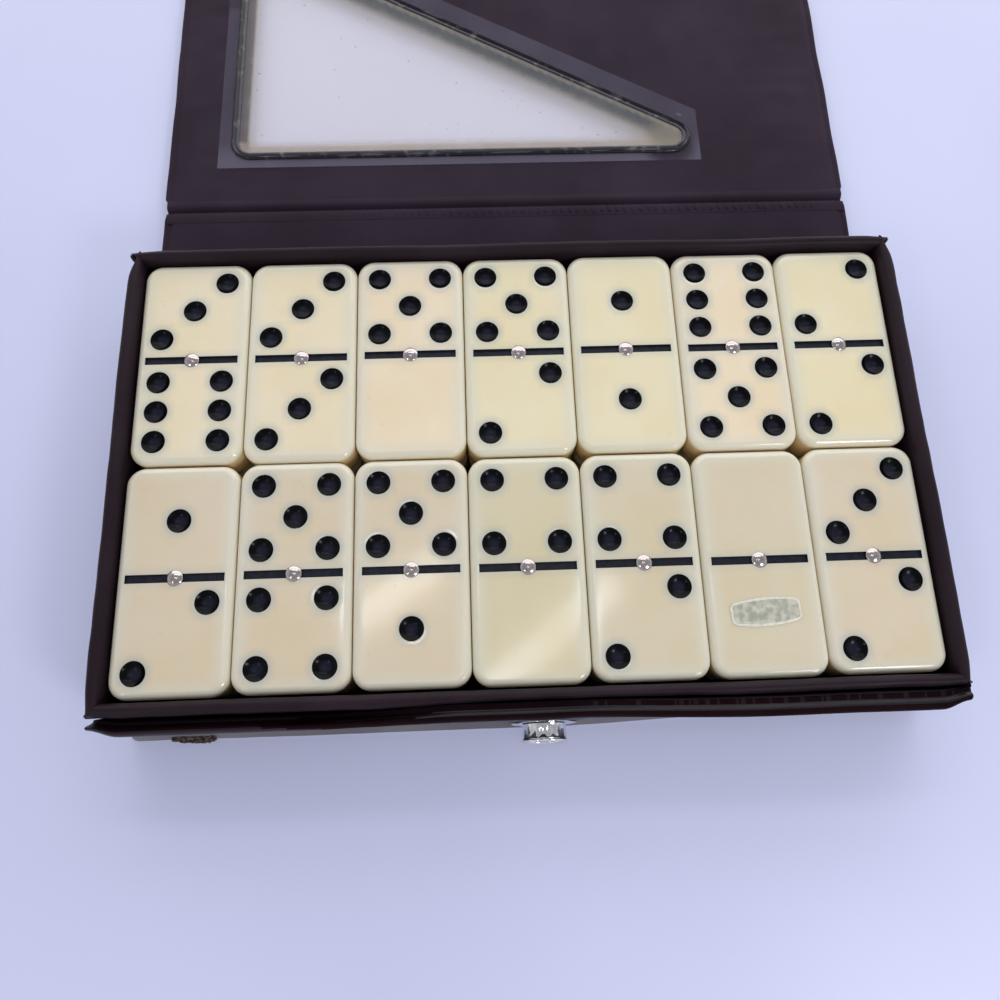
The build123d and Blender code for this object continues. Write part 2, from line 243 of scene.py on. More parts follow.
def wander(x, y=0.0, seed=0.0):
    """Smooth noise from -1 to 1 at a place in millimetres already scaled to the wave's length."""
    return noise.noise(Vector((x, y, seed)))


def ramp(value, low, high):
    """0 below low, 1 above high, smooth between."""
    t = min(1, max(0, (value - low) / (high - low)))
    return t * t * (3 - 2 * t)


# Finishes


def finish(name, colour, roughness, **sockets):
    """A new material with its shader set, ready for its detail."""
    material = bpy.data.materials.new(name)
    material.use_nodes = True
    shader = material.node_tree.nodes["Principled BSDF"]
    shader.inputs["Base Color"].default_value = (*colour, 1)
    shader.inputs["Roughness"].default_value = roughness
    for socket, value in sockets.items():
        shader.inputs[socket.replace("_", " ")].default_value = value
    return material


def node(material, kind, **settings):
    made = material.node_tree.nodes.new("ShaderNode" + kind)
    for name, value in settings.items():
        setattr(made, name, value)
    return made


def link(start, end):
    start.id_data.links.new(start, end)


def shader_of(material):
    return material.node_tree.nodes["Principled BSDF"]


def pattern(material, scale, detail=3, stretch=(1, 1, 1), kind="TexNoise", place=(0, 0, 0)):
    """A noise on the piece's own coordinates, scale in waves per metre."""
    where = node(material, "TexCoord")
    mapping = node(material, "Mapping")
    mapping.inputs["Scale"].default_value = stretch
    mapping.inputs["Location"].default_value = place
    link(where.outputs["Object"], mapping.inputs["Vector"])
    texture = node(material, kind)
    texture.inputs["Scale"].default_value = scale
    if kind == "TexNoise":
        texture.inputs["Detail"].default_value = detail
    link(mapping.outputs["Vector"], texture.inputs["Vector"])
    return texture.outputs[0]


def graded(material, source, low, high, dark, light):
    """The source's range from low to high as a run from one colour to another."""
    ramp_node = node(material, "ValToRGB")
    stops = ramp_node.color_ramp.elements
    stops[0].position, stops[1].position = low, high
    stops[0].color, stops[1].color = (*dark, 1), (*light, 1)
    link(source, ramp_node.inputs["Fac"])
    return ramp_node.outputs["Color"]


def overlaid(material, amount, under, over):
    """One colour over another by an amount from 0 to 1."""
    mix = node(material, "Mix", data_type="RGBA")
    for value, socket in ((amount, 0), (under, 6), (over, 7)):
        if hasattr(value, "is_output"):
            link(value, mix.inputs[socket])
        elif socket:
            mix.inputs[socket].default_value = (*value, 1)
        else:
            mix.inputs[socket].default_value = value
    return mix.outputs[2]


def coloured(material, source):
    link(source, shader_of(material).inputs["Base Color"])


def roughened(material, source, low, high):
    """Roughness that runs from low to high with the source."""
    spread = node(material, "MapRange")
    for end, value in (("From Min", 0.3), ("From Max", 0.7), ("To Min", low), ("To Max", high)):
        spread.inputs[end].default_value = value
    link(source, spread.inputs["Value"])
    link(spread.outputs["Result"], shader_of(material).inputs["Roughness"])


def bumped(material, *reliefs):
    """Bumps of (source, depth in metres), one over the other."""
    normal = None
    for source, depth in reliefs:
        bump = node(material, "Bump")
        bump.inputs["Strength"].default_value = 1
        bump.inputs["Distance"].default_value = depth
        link(source, bump.inputs["Height"])
        if normal:
            link(normal, bump.inputs["Normal"])
        normal = bump.outputs["Normal"]
    link(normal, shader_of(material).inputs["Normal"])


def mottled(name, tones, roughness, grain, span, relief=0, **sockets):
    """A finish that runs from a dark to a light tone over a grain, which may also stand up."""
    material = finish(name, tones[1], roughness, **sockets)
    source = pattern(material, *grain)
    coloured(material, graded(material, source, *span, *tones))
    if relief:
        bumped(material, (source, relief * MM))
    return material


def attribute(material, name):
    return node(material, "Attribute", attribute_name=name).outputs["Fac"]


def plum_vinyl(name, dark, light, gloss, shine):
    """Soft embossed vinyl: two tones, fine grain, patches rubbed smoother."""
    vinyl = finish(name, light, gloss, IOR=1.5, Specular_IOR_Level=shine)
    cloud = pattern(vinyl, 38, 4)
    coloured(vinyl, graded(vinyl, cloud, 0.35, 0.68, dark, light))
    patches = pattern(vinyl, 120, 5, place=(0.3, 0.1, 0))
    roughened(vinyl, patches, gloss - 0.05, gloss + 0.07)
    grain = pattern(vinyl, 2600, 2)
    pores = pattern(vinyl, 900, 2, kind="TexVoronoi")
    bumped(vinyl, (grain, 0.018 * MM), (pores, 0.012 * MM), (patches, 0.03 * MM))
    return vinyl


def ivory_plastic(name, tint):
    """Polished, slightly translucent ivory plastic, with painted shade in a blue-grey ring beside the
    paint, a painted paler rim near its edges and a painted warm glow on its sides.
    """
    ivory = finish(name, tint, 0.14, IOR=1.49, Subsurface_Weight=0.45, Coat_Weight=0.2,
                   Coat_Roughness=0.06)
    shader_of(ivory).inputs["Subsurface Radius"].default_value = (1.0, 0.68, 0.35)
    shader_of(ivory).inputs["Subsurface Scale"].default_value = 2.0 * MM
    warm = [channel * part for channel, part in zip(tint, (0.97, 0.94, 0.86))]
    cloud = pattern(ivory, 60, 3)
    body = graded(ivory, cloud, 0.35, 0.7, tint, warm)
    specks = graded(ivory, pattern(ivory, 330, 5, place=(0.7, 0.2, 0)), 0.7, 0.8, (0,) * 3, (1,) * 3)
    stained = overlaid(ivory, specks, body, (0.42, 0.28, 0.13))
    stained = overlaid(ivory, 0.22, body, stained)
    # Painted light and shade over the ivory: a blue-grey shade ring beside the paint, a paler lit rim
    # near the edges, a warm glow on the sides
    for mark, colour in (("edge_painted_light", (0.72, 0.72, 0.63)), ("side_painted_glow", (0.84, 0.63, 0.30)),
                         ("halo_painted_shade", (0.34, 0.43, 0.46))):
        stained = overlaid(ivory, attribute(ivory, mark), stained, colour)
    coloured(ivory, stained)
    peel = pattern(ivory, 700, 2)
    sparkle = pattern(ivory, 3200, 1)
    roughened(ivory, cloud, 0.08, 0.14)
    bumped(ivory, (peel, 0.006 * MM), (sparkle, 0.0012 * MM))
    return ivory


inner_vinyl = plum_vinyl("inner_vinyl", (0.025, 0.016, 0.027), (0.036, 0.023, 0.039), 0.6, 0.07)
outer_vinyl = plum_vinyl("outer_vinyl", (0.012, 0.004, 0.007), (0.020, 0.008, 0.013), 0.42, 0.22)
wall_vinyl = plum_vinyl("wall_vinyl", (0.015, 0.008, 0.012), (0.025, 0.015, 0.021), 0.42, 0.11)
band_vinyl = plum_vinyl("band_vinyl", (0.006, 0.001, 0.002), (0.012, 0.003, 0.004), 0.6, 0.04)
# A lighter, bluer copy of the vinyl: painted highlight on the panel's ridge and inner edge
ridge_highlight_vinyl = plum_vinyl("ridge_highlight_vinyl", (0.010, 0.006, 0.010), (0.019, 0.013, 0.021), 0.32, 0.26)
tick_vinyl = plum_vinyl("tick_vinyl", (0.010, 0.004, 0.005), (0.020, 0.010, 0.012), 0.5, 0.1)
# The lip's plum vinyl coloured pale grey: painted light standing for the table's light it reflects
lip_reflection_vinyl = plum_vinyl("lip_reflection_vinyl", (0.22, 0.21, 0.25), (0.30, 0.29, 0.33), 0.5, 0.3)
TINTS = (("cream", (0.86, 0.765, 0.57)), ("yellow", (0.85, 0.77, 0.55)), ("peach", (0.88, 0.765, 0.585)))
# Each tint in a lit copy for the back row and a darker copy for the front row, whose darkness is painted
# shade
lit_and_shaded_ivories = {
    row: [ivory_plastic(f"ivory_{tone}_{row}", [share * c for c in tint]) for tone, tint in TINTS]
    for row, share in (("back", 1.01), ("front", 0.84))
}

pip_paint = finish("pip_paint", (0.002, 0.003, 0.007), 0.3, IOR=1.5, Specular_IOR_Level=0.05,
                   Coat_Weight=0.1, Coat_Roughness=0.05)
# The dimples' middles are painted lighter and bluer than their rims: a painted reflection
coloured(pip_paint, graded(pip_paint, attribute(pip_paint, "pip_reflection_depth"), 0, 1,
                           (0.001, 0.001, 0.002), (0.013, 0.014, 0.026)))
bumped(pip_paint, (pattern(pip_paint, 1400, 3), 0.012 * MM), (pattern(pip_paint, 420, 2), 0.03 * MM))
roughened(pip_paint, pattern(pip_paint, 500, 2), 0.24, 0.42)
groove_paint = mottled("groove_paint", ((0.005, 0.006, 0.012), (0.015, 0.017, 0.030)), 0.42, (900, 3),
                       (0.3, 0.7), IOR=1.5, Specular_IOR_Level=0.25)
bumped(groove_paint, (pattern(groove_paint, 1600, 3), 0.01 * MM))


def bright_metal(name, colour, roughness, dent):
    """Plated metal, slightly scratched and dented."""
    metal = finish(name, colour, roughness, Metallic=1)
    scratches = pattern(metal, 900, 4, stretch=(1, 4, 1))
    dark = [0.8 * channel for channel in colour]
    coloured(metal, graded(metal, scratches, 0.3, 0.62, dark, colour))
    roughened(metal, scratches, roughness * 0.6, roughness * 1.5)
    bumped(metal, (pattern(metal, 420, 2), dent * MM), (scratches, 0.001 * MM))
    return metal


chrome = bright_metal("chrome", (0.82, 0.82, 0.84), 0.08, 0.004)
pin_metal = bright_metal("pin_metal", (0.54, 0.48, 0.46), 0.14, 0.05)
spring_steel = bright_metal("spring_steel", (0.58, 0.57, 0.55), 0.25, 0.01)
# Dark plated metal for the rivet: painted shade for the gap behind the panel, where plated metal would
# shine
shade_dark_rivet = bright_metal("shade_dark_rivet", (0.16, 0.15, 0.15), 0.45, 0.01)

label_foil = mottled("label_foil", ((0.40, 0.41, 0.33), (0.66, 0.64, 0.53)), 0.38, (620, 4),
                     (0.38, 0.62), 0.01, Metallic=0.25)
label_rim = mottled("label_rim", ((0.66, 0.62, 0.52), (0.84, 0.80, 0.70)), 0.3, (900, 3), (0.3, 0.6),
                    Metallic=0.15)

clear_vinyl = finish("clear_vinyl", (0.7, 0.68, 0.6), 0.3, IOR=1.4, Specular_IOR_Level=0.2, Alpha=0.15)
# The film's colour and cover come from an attribute that holds its haze, glue residue and painted shadow
residue_and_shadow_node = node(clear_vinyl, "Attribute", attribute_name="film_residue_and_shadow")
film_specks = graded(clear_vinyl, pattern(clear_vinyl, 640, 1), 0.765, 0.79, (0,) * 3, (0.6,) * 3)
coloured(clear_vinyl, overlaid(clear_vinyl, film_specks, residue_and_shadow_node.outputs["Color"], (0.05, 0.045, 0.05)))
link(overlaid(clear_vinyl, film_specks, residue_and_shadow_node.outputs["Alpha"], (0.7,) * 3),
     shader_of(clear_vinyl).inputs["Alpha"])
bumped(clear_vinyl, (pattern(clear_vinyl, 60, 2), 0.05 * MM))
roughened(clear_vinyl, pattern(clear_vinyl, 90, 5), 0.25, 0.4)

# Vinyl squeezed up by the weld, with bits of dried residue; the inner bead, where the film is welded in,
# is a lighter bluer copy, partly painted highlight on its flank
outer_bead, inner_bead = (
    mottled(name, tones, 0.25, (450, 6), (0.56, 0.70), 0.05, IOR=1.5, Specular_IOR_Level=shine)
    for name, tones, shine in (("outer_bead", ((0.012, 0.009, 0.014), (0.07, 0.06, 0.065)), 0.3),
                               ("inner_bead", ((0.03, 0.03, 0.045), (0.16, 0.14, 0.13)), 0.45))
)
grey_card = mottled("grey_card", ((0.25, 0.21, 0.16), (0.38, 0.34, 0.27)), 0.85, (700, 5, (1, 3, 1)),
                    (0.3, 0.7), 0.03)
torn_backing = mottled("torn_backing", ((0.014, 0.006, 0.007), (0.17, 0.11, 0.10)), 0.8, (1500, 4),
                       (0.4, 0.66), 0.1)


def finished(piece, body, slot, *materials, over=None):
    """Gives a made piece its materials and its body, and hides the CAD node it goes over; the slot is
    not used.
    """
    for material in materials:
        piece.data.materials.append(material)
    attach(piece, body)
    if over:
        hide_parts(over)


def dress_node(name, material):
    """A CAD node whose shape is right gets its own finish."""
    part = frame["nodes"][name]
    part.data.materials.clear()
    part.data.materials.append(material)


# Dominoes

TILE_WIDTH = 25.4
TILE_LENGTH = 50.8
TILE_THICKNESS = 9.5
TILE_CORNER = 4.2
TILE_EDGE = 1.7
PIP_RADIUS = 2.7
PIP_DEPTH = 1.1
PIP_SPACING = 7.25
GROOVE = (21.4, 1.85, 0.6)
DISH = 0.9
HALO = 1.9
GRID = 1.4

# Tiles whose higher count is on the upper half, as the case is seen from the front
HIGH_END_UP = {"0_5", "2_5", "5_6", "4_5", "1_5", "0_4", "2_4", "2_3", "0_2", "3_4", "0_6", "1_3",
               "2_6", "4_6"}


def pip_places(count):
    """Where the pips of one half lie about its middle."""
    a = PIP_SPACING
    corners = [(-a, a), (a, a), (-a, -a), (a, -a)]
    diagonal = [(a, a), (-a, -a)]
    layouts = ([], [(0, 0)], diagonal, diagonal + [(0, 0)], corners, corners + [(0, 0)],
               corners + [(-a, 0), (a, 0)])
    return [(x, y + TILE_LENGTH / 4) for x, y in layouts[count]]


def pip_cutter():
    """A turned tool that leaves a dimple with a slightly dished rim."""
    ball = (PIP_RADIUS**2 + PIP_DEPTH**2) / (2 * PIP_DEPTH)
    reach = degrees(atan2(PIP_RADIUS, ball - PIP_DEPTH))
    dish = arc((0, ball - PIP_DEPTH), ball, -90, -90 + 0.96 * reach, 8)
    rim = [(PIP_RADIUS + DISH * share, -0.03 * (1 - share) ** 2) for share in (0, 0.12, 0.3, 0.5, 0.72)]
    rim.append((PIP_RADIUS + DISH, 0.004))
    top = 1.0
    return lathe("pip_cutter", dish + rim + [(PIP_RADIUS + DISH, top), (0, top)], 40)


def slab(size, middle, name):
    """A block to cut with or to shape, sizes in millimetres."""
    bpy.ops.mesh.primitive_cube_add(size=1, location=[c * MM for c in middle])
    block = called(name)
    block.scale = [s * MM for s in size]
    fix_in_place(block)
    return block


def half_tile(count, cutter):
    """The upper half of a tile with its pips, open at the middle, its top face at z = 0."""
    half = TILE_LENGTH / 2
    body = slab((TILE_WIDTH, half, TILE_THICKNESS), (0, half / 2, -TILE_THICKNESS / 2), "half_tile")
    edit(body)
    choose(body, "EDGE", lambda at, way: abs(way.z) > 5 * MM and at.y > 20 * MM)
    bpy.ops.mesh.bevel(offset=TILE_CORNER * MM, segments=9)
    choose(body, "EDGE", lambda at, way: abs(way.z) < 0.01 * MM and at.y > 0.01 * MM)
    bpy.ops.mesh.bevel(offset=TILE_EDGE * MM, segments=6)
    close()
    tools = []
    for x, y in pip_places(count):
        tools.append(copy_of(cutter, "pip_tool"))
        put(tools[-1], (x, y, 0))
    tools.append(slab((GROOVE[0], GROOVE[1], 2 * GROOVE[2]), (0, 0, 0), "groove_tool"))
    tool = one_piece("tools", *tools)
    press(body, "BOOLEAN", operation="DIFFERENCE", object=tool, solver="EXACT")
    throw_away(tool)
    edit(body)
    choose(body, "FACE", lambda at, normal: abs(at.y) < 0.001 * MM and abs(normal.y) > 0.9)
    bpy.ops.mesh.delete(type="FACE")
    cut_grid(body, lambda at, normal: at.z > -0.04 * MM, spaced(-8 * GRID, 8 * GRID, GRID),
             spaced(GRID, 17 * GRID, GRID))
    close()
    return body


def paint_tile(tile, pips):
    """Paints the dimples and the groove, and marks the painted shade ring beside them, the painted light
    on the upper edges and the warm sides, and the dimples' depth for their painted reflection.
    """
    groove_x, groove_y, slack = GROOVE[0] / 2, GROOVE[1] / 2, 0.001

    def nearest(x, y):
        return min([hypot(x - pip_x, y - pip_y) for pip_x, pip_y in pips] or [FAR])

    def paint(x, y, z):
        if not -PIP_DEPTH - 0.05 < z < -0.025:
            return 0
        in_groove = abs(x) < groove_x + slack and abs(y) < groove_y + slack
        return 2 if in_groove else nearest(x, y) < PIP_RADIUS

    def marks(x, y, z):
        from_pip = max(0, nearest(x, y) - PIP_RADIUS)
        from_groove = hypot(max(0, abs(x) - groove_x), max(0, abs(y) - groove_y))
        from_edge = min(TILE_WIDTH / 2 - abs(x), TILE_LENGTH / 2 - abs(y))
        # Marks for painted shade beside the pips and groove, painted light near the upper edges, a
        # painted warm glow on the sides, and the dimple depth that sets the pips' painted reflection
        beside = [strength * (1 - min(1, away / HALO)) ** 1.6
                  for strength, away in ((0.55, from_pip), (0.3, from_groove))]
        return (max(beside) if z > -0.2 else 0, 0.6 * (1 - ramp(from_edge, 0.6, 4.5)) * ramp(z, -3, -1),
                0.9 * ramp(-z, 0.7, 2.4), ramp(-z, 0.7, 1.08))

    paint_faces(tile, paint)
    columns = zip(*[marks(*(vertex.co / MM)) for vertex in tile.data.vertices])
    for name, column in zip(("halo_painted_shade", "edge_painted_light", "side_painted_glow", "pip_reflection_depth"), columns):
        tile.data.attributes.new(name, "FLOAT", "POINT").data.foreach_set("value", column)


def whole_tile(name, upper, lower, halves):
    """Two halves set end to end."""
    top = copy_of(halves[upper], "top_half")
    bottom = copy_of(halves[lower], "bottom_half")
    put(bottom, turn=(0, 0, 180))
    tile = one_piece(name, bottom, top)
    close_seams(tile, 0.002 * MM)
    pips = pip_places(upper) + [(-x, -y) for x, y in pip_places(lower)]
    paint_tile(tile, pips)
    smooth(tile, 30)
    press(tile, "WEIGHTED_NORMAL", keep_sharp=True, weight=100)
    return tile


def spinner_pin():
    """The flattened dome of metal at the middle of a tile, with its dark seat."""
    height, radius, seat_depth = 0.68, 1.7, 0.2
    ball = (1.8**2 + height**2) / (2 * height)
    reach = degrees(atan2(radius, ball - height))
    cap = [(r, z + height - ball) for r, z in arc((0, 0), ball, 90, 90 - reach, 9)]
    pin = lathe("pin_head", cap + [(1.78, -0.02), (radius, -seat_depth), (0, -seat_depth)], 32)

    def dented(x, y, z):
        grow = 1 + 0.02 * wander(x * 0.8, y * 0.8, z)
        return x * grow, y * grow, z * grow

    sculpt(pin, dented)
    return pin


def set_dominoes():
    """All 28 tiles with their pins, each where its CAD node is."""
    cutter = pip_cutter()
    halves = [half_tile(count, cutter) for count in range(7)]
    pin = spinner_pin()
    names = [name for name in sorted(frame["nodes"]) if name.startswith("domino_")]
    for number, name in enumerate(names):
        pair = name.removeprefix("domino_")
        low_count, high_count = (int(part) for part in pair.split("_"))
        upper, lower = (high_count, low_count) if pair in HIGH_END_UP else (low_count, high_count)
        low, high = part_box(name)
        middle = (low + high) / 2
        place = (middle.x / MM, middle.y / MM, low.z / MM + TILE_THICKNESS)
        tile = whole_tile("ivory_tile_" + pair, upper, lower, halves)
        head = copy_of(pin, "spinner_pin_" + pair)
        put(tile, place)
        put(head, place, (0, 0, degrees(number * 1.7)))
        # Front-row tiles take the darker copy: painted shade
        ivory = lit_and_shaded_ivories["back" if middle.y > 0 else "front"][number % len(TINTS)]
        paints = (ivory, pip_paint, groove_paint)
        finished(tile, "tile_" + pair, "ivory_plastic", *paints, over=name)
        finished(head, "tile_" + pair, "chrome", pin_metal)
    throw_away(cutter, pin, *halves)


def set_foil_label():
    """The blank foil label on the double blank, with a raised pale rim and faint creases."""
    low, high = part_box("blank_label")
    middle = (low + high) / 2
    half_length, half_width = (high.x - low.x) / 2 / MM, (high.y - low.y) / 2 / MM
    rim_width = 0.55
    label = sheet_blank("blank_foil_label", half_length, -half_width, half_width, 0.5,
                        (0.12, 0.3, rim_width, 0.75))
    edge_bow, corner, foil = 0.3, 1.2, 0.04

    def from_edge(x, y):
        return min(half_length - abs(x), half_width - abs(y))

    def pressed(x, y, z):
        x, y = rounded_corner(x, y, half_length, -half_width, half_width, corner)
        inward = from_edge(x, y)
        rim = 0.06 * ramp(inward, 0, 0.2) - 0.05 * ramp(inward, 0.35, 0.75)
        crease = 0.02 * wander(x * 0.6, y * 0.9, 4) + 0.008 * wander(x * 2.5, y * 2.5, 5)
        return x, y * (1 - edge_bow * (x / half_length) ** 2), rim + crease + foil

    paint_faces(label, lambda x, y, z: from_edge(x, y) < rim_width)
    sculpt(label, pressed)
    press(label, "SOLIDIFY", thickness=foil * MM, offset=1)
    put(label, (middle.x / MM, middle.y / MM, low.z / MM + 0.02), (0, 0, 4))
    smooth(label, 40)
    finished(label, "tile_0_0", "foil", label_foil, label_rim, over="blank_label")


# Walls of the tray

INNER_HALF_X = 89.7
INNER_HALF_Y = 51.38
WALL = 3.0
WALL_TOP = 24.3
BASE_SKIN = 0.6
BOARD_TOP = 2.0
COVER = 0.8


def wall_section():
    """The padded cover's section: out from the inner face, and up."""
    r = WALL / 2
    outside = arc((r, WALL_TOP - r), r, 180, 0, 12) + [(WALL, z) for z in (18, 12, 6, BASE_SKIN)]
    inside = [(WALL - COVER, BASE_SKIN), (WALL - COVER, WALL_TOP - r), (COVER, WALL_TOP - r),
              (COVER, BOARD_TOP), (0, BOARD_TOP), (0, 8), (0, 14), (0, 19)]
    return outside + inside


def set_wall(side, half, inner, turn, pinched_end=0, slim_end=0, room=0.0):
    """One padded wall, made as the back wall, softened, and turned to its side of the tray."""
    places = spaced(-half, half, 1.6)
    cover = swept(side + "_wall_vinyl", wall_section(), places)
    seed = turn / 7

    def soften(along, out, up):
        high = ramp(up, 17, 23)
        x = along / half * (half + out)
        near_end = ramp(abs(x), half - 9, half + 3)
        sway = 0.28 * wander(x * 0.03, 0, seed) + 0.07 * wander(x * 0.21, 0, seed + 3)
        swell = 0.12 * wander(x * 0.16, up * 0.12, seed + 5)
        pinch = (2.1 if x * pinched_end > 0 else 0.35) * near_end**3 * ramp(out, 0.6, 3) * high
        slim = abs(slim_end) * ramp(x * slim_end, -35, 0) * (0.95 - 0.4 * ramp(x * slim_end, 10, 45))
        out += high * sway - pinch + (swell - high * (slim + room)) * ramp(out, 1.5, 3)
        up += high * (0.22 * wander(x * 0.045, 2, seed) - 0.06 - 0.35 * near_end**3)
        return x, inner + out, up

    sculpt(cover, soften)
    put(cover, turn=(0, 0, turn))
    close_seams(cover)
    smooth(cover, 50)
    finished(cover, "tray", "vinyl", wall_vinyl, over=side + "_wall_cover")


def wall_card(half, inner, turn):
    """The card inside a wall, stopped short of the corners."""
    clear = 0.06
    low, high = COVER + clear, WALL - COVER - clear
    outline = [(inner + low, BOARD_TOP), (inner + high, BOARD_TOP), (inner + high, 17),
               (inner + low + 0.4, 21), (inner + low, 21)]
    card = swept("wall_card", outline, spaced(3.5 - half, half - 3.5, 20))
    put(card, turn=(0, 0, turn))
    return card


def corner_leaf(name, side):
    """The pinched end of the vinyl that stands out at a back corner: a leaf and a small spike."""
    leaf_outline = [(0, 0.4), (1.2, 0.9), (2.3, 0.9), (3.2, 0.5), (4.0, 0), (3.2, -0.3), (2.2, -0.5),
                    (1.0, -0.5)]
    spike_outline = [(0, 0.5), (0.9, 0.35), (1.7, 0.1), (0.9, -0.3), (0, -0.5)]
    made = []
    for outline, turn, (x, y, z) in ((leaf_outline, 34, (90.0, 51.6, 22.5)),
                                     (spike_outline, 64, (89.9, 52.6, 23.0))):
        leaf = outline_ring(name, outline)
        edit(leaf)
        draw_out(0, 0, -1.2)
        draw_out(-0.8, 0, -2.6)
        cap_ends(leaf)
        press(leaf, "SUBSURF", levels=2, render_levels=2)
        put(leaf, (side * x, y, z), (0, -6, 180 - turn if side < 0 else turn))
        made.append(leaf)
    leaf = one_piece(name, *made)
    smooth(leaf, 60)
    finished(leaf, "tray", "vinyl", wall_vinyl)


def set_tray():
    set_wall("back", INNER_HALF_X, INNER_HALF_Y, 0, room=0.2)
    set_wall("front", INNER_HALF_X, INNER_HALF_Y, 180, slim_end=-1)
    set_wall("left", INNER_HALF_Y, INNER_HALF_X, 90, pinched_end=1)
    set_wall("right", INNER_HALF_Y, INNER_HALF_X, -90, pinched_end=-1)
    for name, half, inner, turns in (("long_wall", INNER_HALF_X, INNER_HALF_Y, (0, 180)),
                                     ("side_wall", INNER_HALF_Y, INNER_HALF_X, (90, -90))):
        cards = one_piece(name + "_cards", *[wall_card(half, inner, turn) for turn in turns])
        finished(cards, "tray", "card", grey_card, over=name + "_boards")
    corner_leaf("left_corner_pinch", -1)
    corner_leaf("right_corner_pinch", 1)

    low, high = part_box("base_skin")
    size = high.x / MM, low.y / MM, high.y / MM
    skin = sheet_blank("base_vinyl", *size, 3.0, (0.3, 1.0, 2.0))
    sculpt(skin, lambda x, y, z: (*rounded_corner(x, y, *size, 2.0), z))
    press(skin, "SOLIDIFY", thickness=BASE_SKIN * MM, offset=1)
    lip = low.y / MM + 2.2

    def lip_sway(x, y, z):
        sway = 0.35 + 0.15 * wander(x * 0.03, 1, 6) + 0.08 * wander(x * 0.2, 1, 6) + ramp(x, 5, 40)
        return x, y + sway * ramp(-y, -lip, 0.8 - lip), z

    # The front lip takes the pale grey vinyl: painted reflection
    paint_faces(skin, lambda x, y, z: y < lip - 0.2)
    sculpt(skin, lip_sway)
    smooth(skin, 40)
    finished(skin, "tray", "vinyl", outer_vinyl, lip_reflection_vinyl, over="base_skin")

    low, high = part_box("floor_liner")
    liner = sheet_blank("tray_liner", high.x / MM, low.y / MM, high.y / MM, 3.0)
    floor = low.z / MM
    sculpt(liner, lambda x, y, z: (x, y, floor + 0.05 * (1 + wander(x * 0.2, y * 0.2, 8))))
    press(liner, "SOLIDIFY", thickness=0.3 * MM, offset=1)
    smooth(liner, 40)
    finished(liner, "tray", "liner", inner_vinyl, over="floor_liner")


def sheet_blank(name, half_width, low, high, step, edge_rows=()):
    """A flat sheet of squares at z = 0, centred on X, with closer rows near its edges."""
    across, along = 2 * half_width, high - low
    bpy.ops.mesh.primitive_grid_add(
        x_subdivisions=round(across / step), y_subdivisions=round(along / step), size=1,
        location=(0, (low + high) / 2 * MM, 0),
    )
    sheet = called(name)
    sheet.scale = (across * MM, along * MM, 1)
    fix_in_place(sheet)
    edit(sheet)
    for row in edge_rows:
        for axis, place in enumerate((row - half_width, half_width - row, low + row, high - row)):
            bpy.ops.mesh.select_all(action="SELECT")
            slice_at(axis // 2, place)
    close()
    return sheet


def rounded_corner(x, y, half_width, low, high, radius):
    """A place on a square-cornered sheet, drawn in to a round corner."""
    across, along = (1 if x > 0 else -1), (1 if y > (low + high) / 2 else -1)
    past_x = max(0, abs(x) - half_width + radius)
    past_y = max(0, (y - high if along > 0 else low - y) + radius)
    if past_x == 0 or past_y == 0:
        return x, y
    draw = 1 - max(past_x, past_y) / hypot(past_x, past_y)
    return x - across * past_x * draw, y - along * past_y * draw


# Front panel and snap

PANEL_INNER_Y = -54.88
PANEL_DEPTH = 3.2
PANEL_TOP = 22.9
PANEL_HALF_X = 92.7
SNAP_X = 2.5
SNAP_HEIGHT = 11.6
SNAP_TILT = 6.0
FLANGE_Y = -58.83
SNAP_SUNK = 0.3


